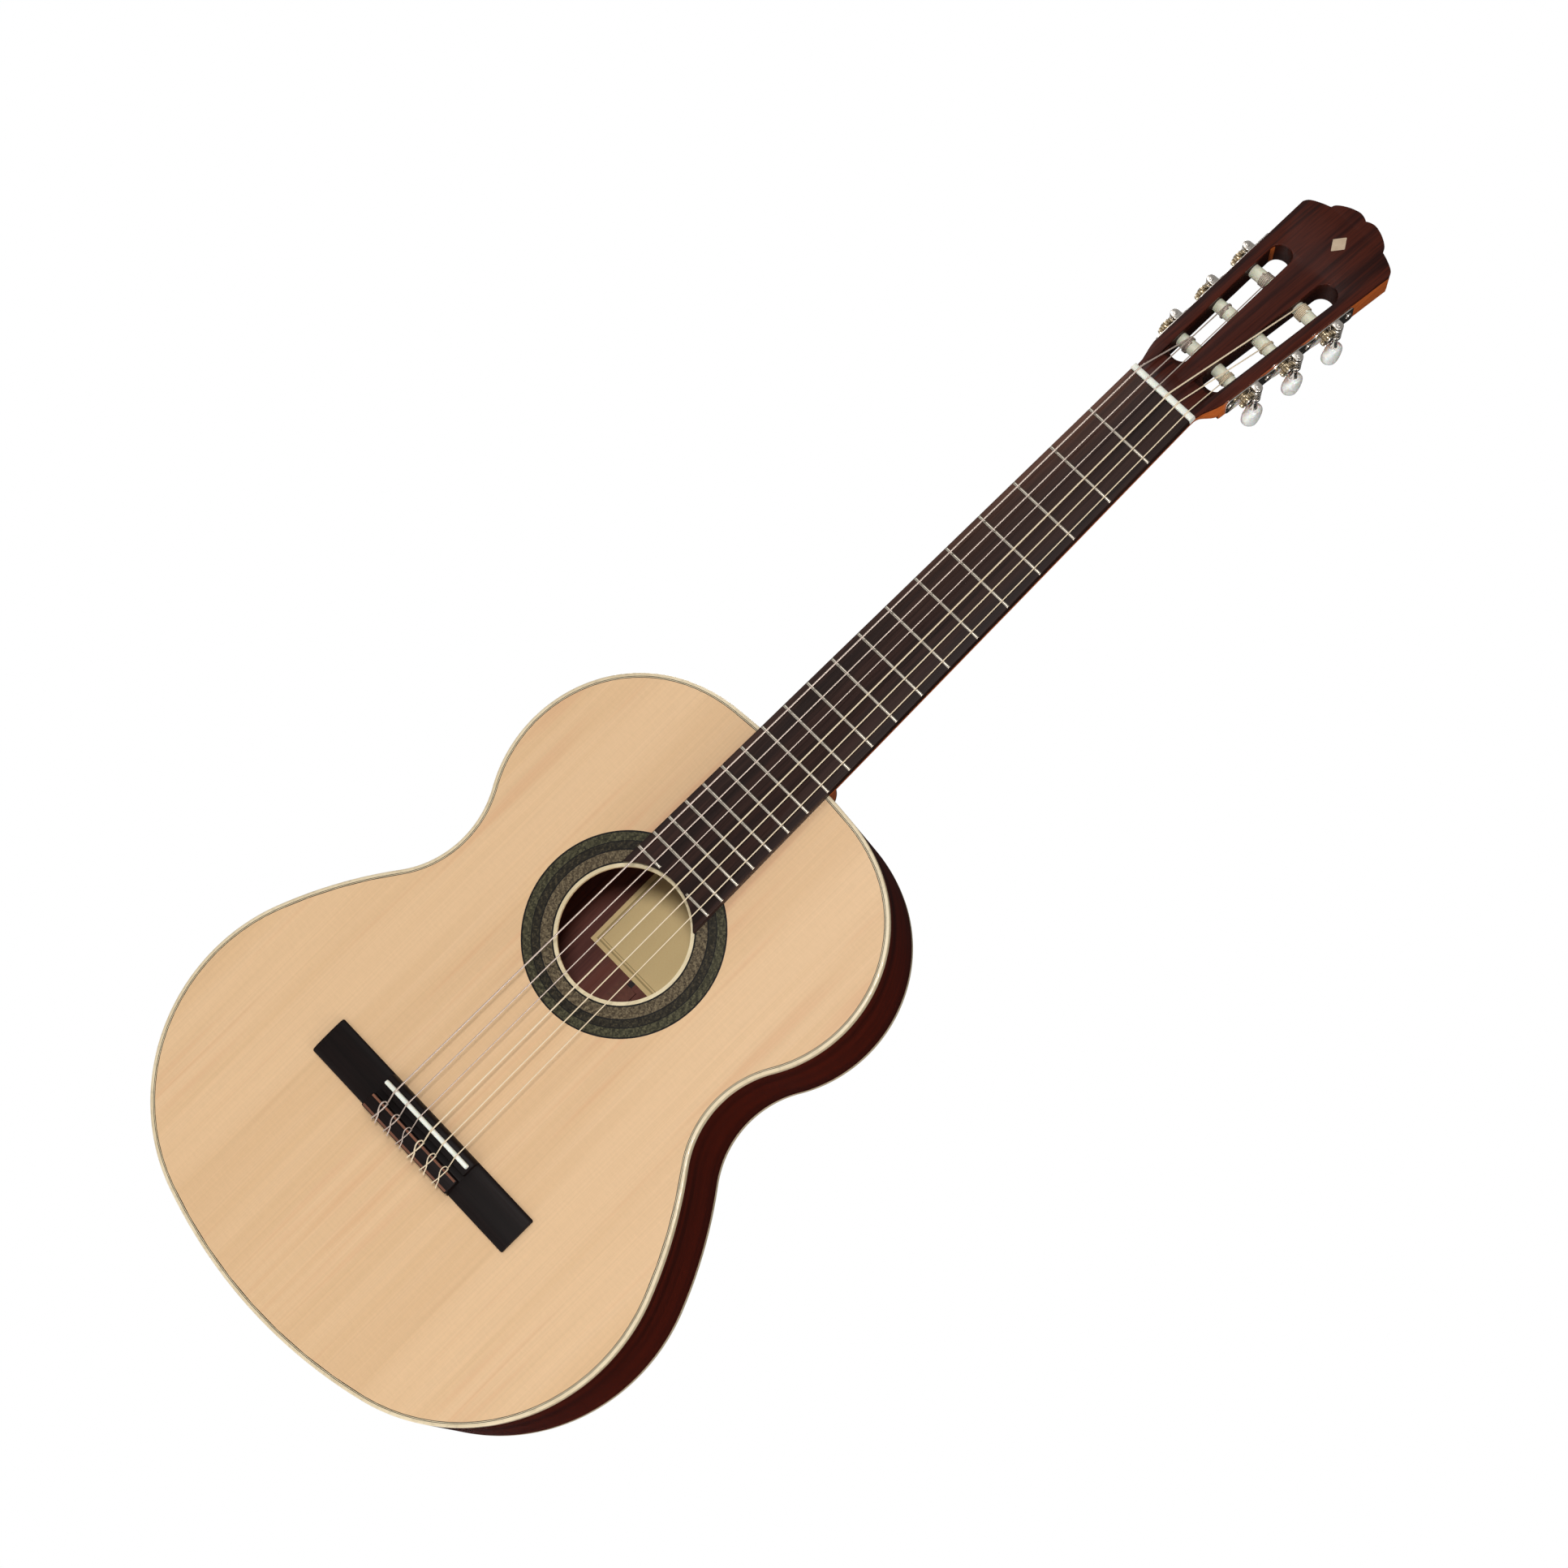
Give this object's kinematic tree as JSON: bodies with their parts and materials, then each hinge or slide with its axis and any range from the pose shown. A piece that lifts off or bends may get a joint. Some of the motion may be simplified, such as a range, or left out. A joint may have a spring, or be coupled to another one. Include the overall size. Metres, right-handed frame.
{
  "type": "classical guitar",
  "caption": "Classical guitar with nylon strings, slotted head, Spanish heel, fan-braced spruce top, rosewood back and sides, tie bridge and geared tuners.",
  "frame": {"origin": "on the centreline at the front edge of the nut, where the string length starts, in the plane of the soundboard and of the neck's face", "axes": "+X across the strings to the treble side, -Y straight out of the soundboard, +Z along the neck to the head"},
  "size_m": [0.3742, 0.1131, 0.9947],
  "materials": {
    "spruce": "satin lacquer over straight lengthwise grain",
    "rosette_mosaic": "inlaid dark mosaic under lacquer",
    "cream_trim": "lacquered pale wood",
    "rosewood": "high-gloss lacquer over red-brown grain",
    "dark_purfling": "lacquered black line",
    "brace_wood": "bare sanded",
    "label_paper": "matt paper",
    "neck_wood": "satin lacquer over orange-brown grain",
    "head_veneer": "gloss lacquer over dark red-brown grain",
    "fingerboard_wood": "oiled, open-pored",
    "nickel_silver": "polished wire",
    "bone": "polished bone",
    "bridge_wood": "oiled dark wood",
    "nickel_plate": "plated and polished",
    "gear_metal": "machined",
    "clear_nylon": "clear nylon monofilament",
    "wound_string": "fine silvered winding",
    "pearl_button": "pearl plastic",
    "roller_ivory": "ivory-coloured plastic"
  },
  "bodies": {
    "guitar": {"soundboard": "spruce", "rosette": "rosette_mosaic", "soundhole_ring": "cream_trim", "back_bass": "rosewood", "back_treble": "rosewood", "back_centre_strip": "cream_trim", "side_bass": "rosewood", "side_treble": "rosewood", "top_binding": "cream_trim", "top_purfling": "dark_purfling", "back_binding": "cream_trim", "linings": "brace_wood", "tail_block": "neck_wood", "end_graft": "cream_trim", "harmonic_bars": "brace_wood", "fan_braces": "brace_wood", "bridge_plate": "brace_wood", "back_braces": "brace_wood", "label": "label_paper", "neck": "neck_wood", "heel_cap": "rosewood", "headplate": "head_veneer", "fingerboard": "fingerboard_wood", "frets": "nickel_silver", "nut": "bone", "bridge": "bridge_wood", "saddle": "bone", "tuner_plate_bass": "nickel_plate", "tuner_plate_treble": "nickel_plate", "plate_screws": "nickel_plate", "string_1": "clear_nylon", "string_2": "clear_nylon", "string_3": "clear_nylon", "string_4": "wound_string", "string_5": "wound_string", "string_6": "wound_string"},
    "tuner_knob_1": {"button_1": "pearl_button", "worm_1": "nickel_plate"},
    "string_roller_1": {"roller_1": "roller_ivory", "gear_1": "gear_metal"},
    "tuner_knob_2": {"button_2": "pearl_button", "worm_2": "nickel_plate"},
    "string_roller_2": {"roller_2": "roller_ivory", "gear_2": "gear_metal"},
    "tuner_knob_3": {"button_3": "pearl_button", "worm_3": "nickel_plate"},
    "string_roller_3": {"roller_3": "roller_ivory", "gear_3": "gear_metal"},
    "tuner_knob_4": {"button_4": "pearl_button", "worm_4": "nickel_plate"},
    "string_roller_4": {"roller_4": "roller_ivory", "gear_4": "gear_metal"},
    "tuner_knob_5": {"button_5": "pearl_button", "worm_5": "nickel_plate"},
    "string_roller_5": {"roller_5": "roller_ivory", "gear_5": "gear_metal"},
    "tuner_knob_6": {"button_6": "pearl_button", "worm_6": "nickel_plate"},
    "string_roller_6": {"roller_6": "roller_ivory", "gear_6": "gear_metal"}
  },
  "joints": [
    {"name": "knob_1_turn", "type": "hinge", "parent": "guitar", "child": "tuner_knob_1", "pos_m": [0.03685, 0.01897, 0.04682], "axis": [0, 0.9659, -0.2588], "continuous": true},
    {"name": "roller_1_turn", "type": "hinge", "parent": "guitar", "child": "string_roller_1", "pos_m": [0.03172, 0.01694, 0.03926], "axis": [0.9986, -0.0139, -0.0519], "continuous": true},
    {"name": "knob_2_turn", "type": "hinge", "parent": "guitar", "child": "tuner_knob_2", "pos_m": [0.03873, 0.02802, 0.08058], "axis": [0, 0.9659, -0.2588], "continuous": true},
    {"name": "roller_2_turn", "type": "hinge", "parent": "guitar", "child": "string_roller_2", "pos_m": [0.0336, 0.02599, 0.07301], "axis": [0.9986, -0.0139, -0.0519], "continuous": true},
    {"name": "knob_3_turn", "type": "hinge", "parent": "guitar", "child": "tuner_knob_3", "pos_m": [0.04061, 0.03706, 0.11434], "axis": [0, 0.9659, -0.2588], "continuous": true},
    {"name": "roller_3_turn", "type": "hinge", "parent": "guitar", "child": "string_roller_3", "pos_m": [0.03548, 0.03503, 0.10677], "axis": [0.9986, -0.0139, -0.0519], "continuous": true},
    {"name": "knob_4_turn", "type": "hinge", "parent": "guitar", "child": "tuner_knob_4", "pos_m": [-0.04061, 0.03706, 0.11434], "axis": [0, 0.9659, -0.2588], "continuous": true},
    {"name": "roller_4_turn", "type": "hinge", "parent": "guitar", "child": "string_roller_4", "pos_m": [-0.03548, 0.03503, 0.10677], "axis": [-0.9986, -0.0139, -0.0519], "continuous": true},
    {"name": "knob_5_turn", "type": "hinge", "parent": "guitar", "child": "tuner_knob_5", "pos_m": [-0.03873, 0.02802, 0.08058], "axis": [0, 0.9659, -0.2588], "continuous": true},
    {"name": "roller_5_turn", "type": "hinge", "parent": "guitar", "child": "string_roller_5", "pos_m": [-0.0336, 0.02599, 0.07301], "axis": [-0.9986, -0.0139, -0.0519], "continuous": true},
    {"name": "knob_6_turn", "type": "hinge", "parent": "guitar", "child": "tuner_knob_6", "pos_m": [-0.03685, 0.01897, 0.04682], "axis": [0, 0.9659, -0.2588], "continuous": true},
    {"name": "roller_6_turn", "type": "hinge", "parent": "guitar", "child": "string_roller_6", "pos_m": [-0.03172, 0.01694, 0.03926], "axis": [-0.9986, -0.0139, -0.0519], "continuous": true}
  ],
  "couplings": [
    {"joint": "roller_1_turn", "follows": "knob_1_turn", "ratio": -0.071429},
    {"joint": "roller_2_turn", "follows": "knob_2_turn", "ratio": -0.071429},
    {"joint": "roller_3_turn", "follows": "knob_3_turn", "ratio": -0.071429},
    {"joint": "roller_4_turn", "follows": "knob_4_turn", "ratio": -0.071429},
    {"joint": "roller_5_turn", "follows": "knob_5_turn", "ratio": -0.071429},
    {"joint": "roller_6_turn", "follows": "knob_6_turn", "ratio": -0.071429}
  ]
}
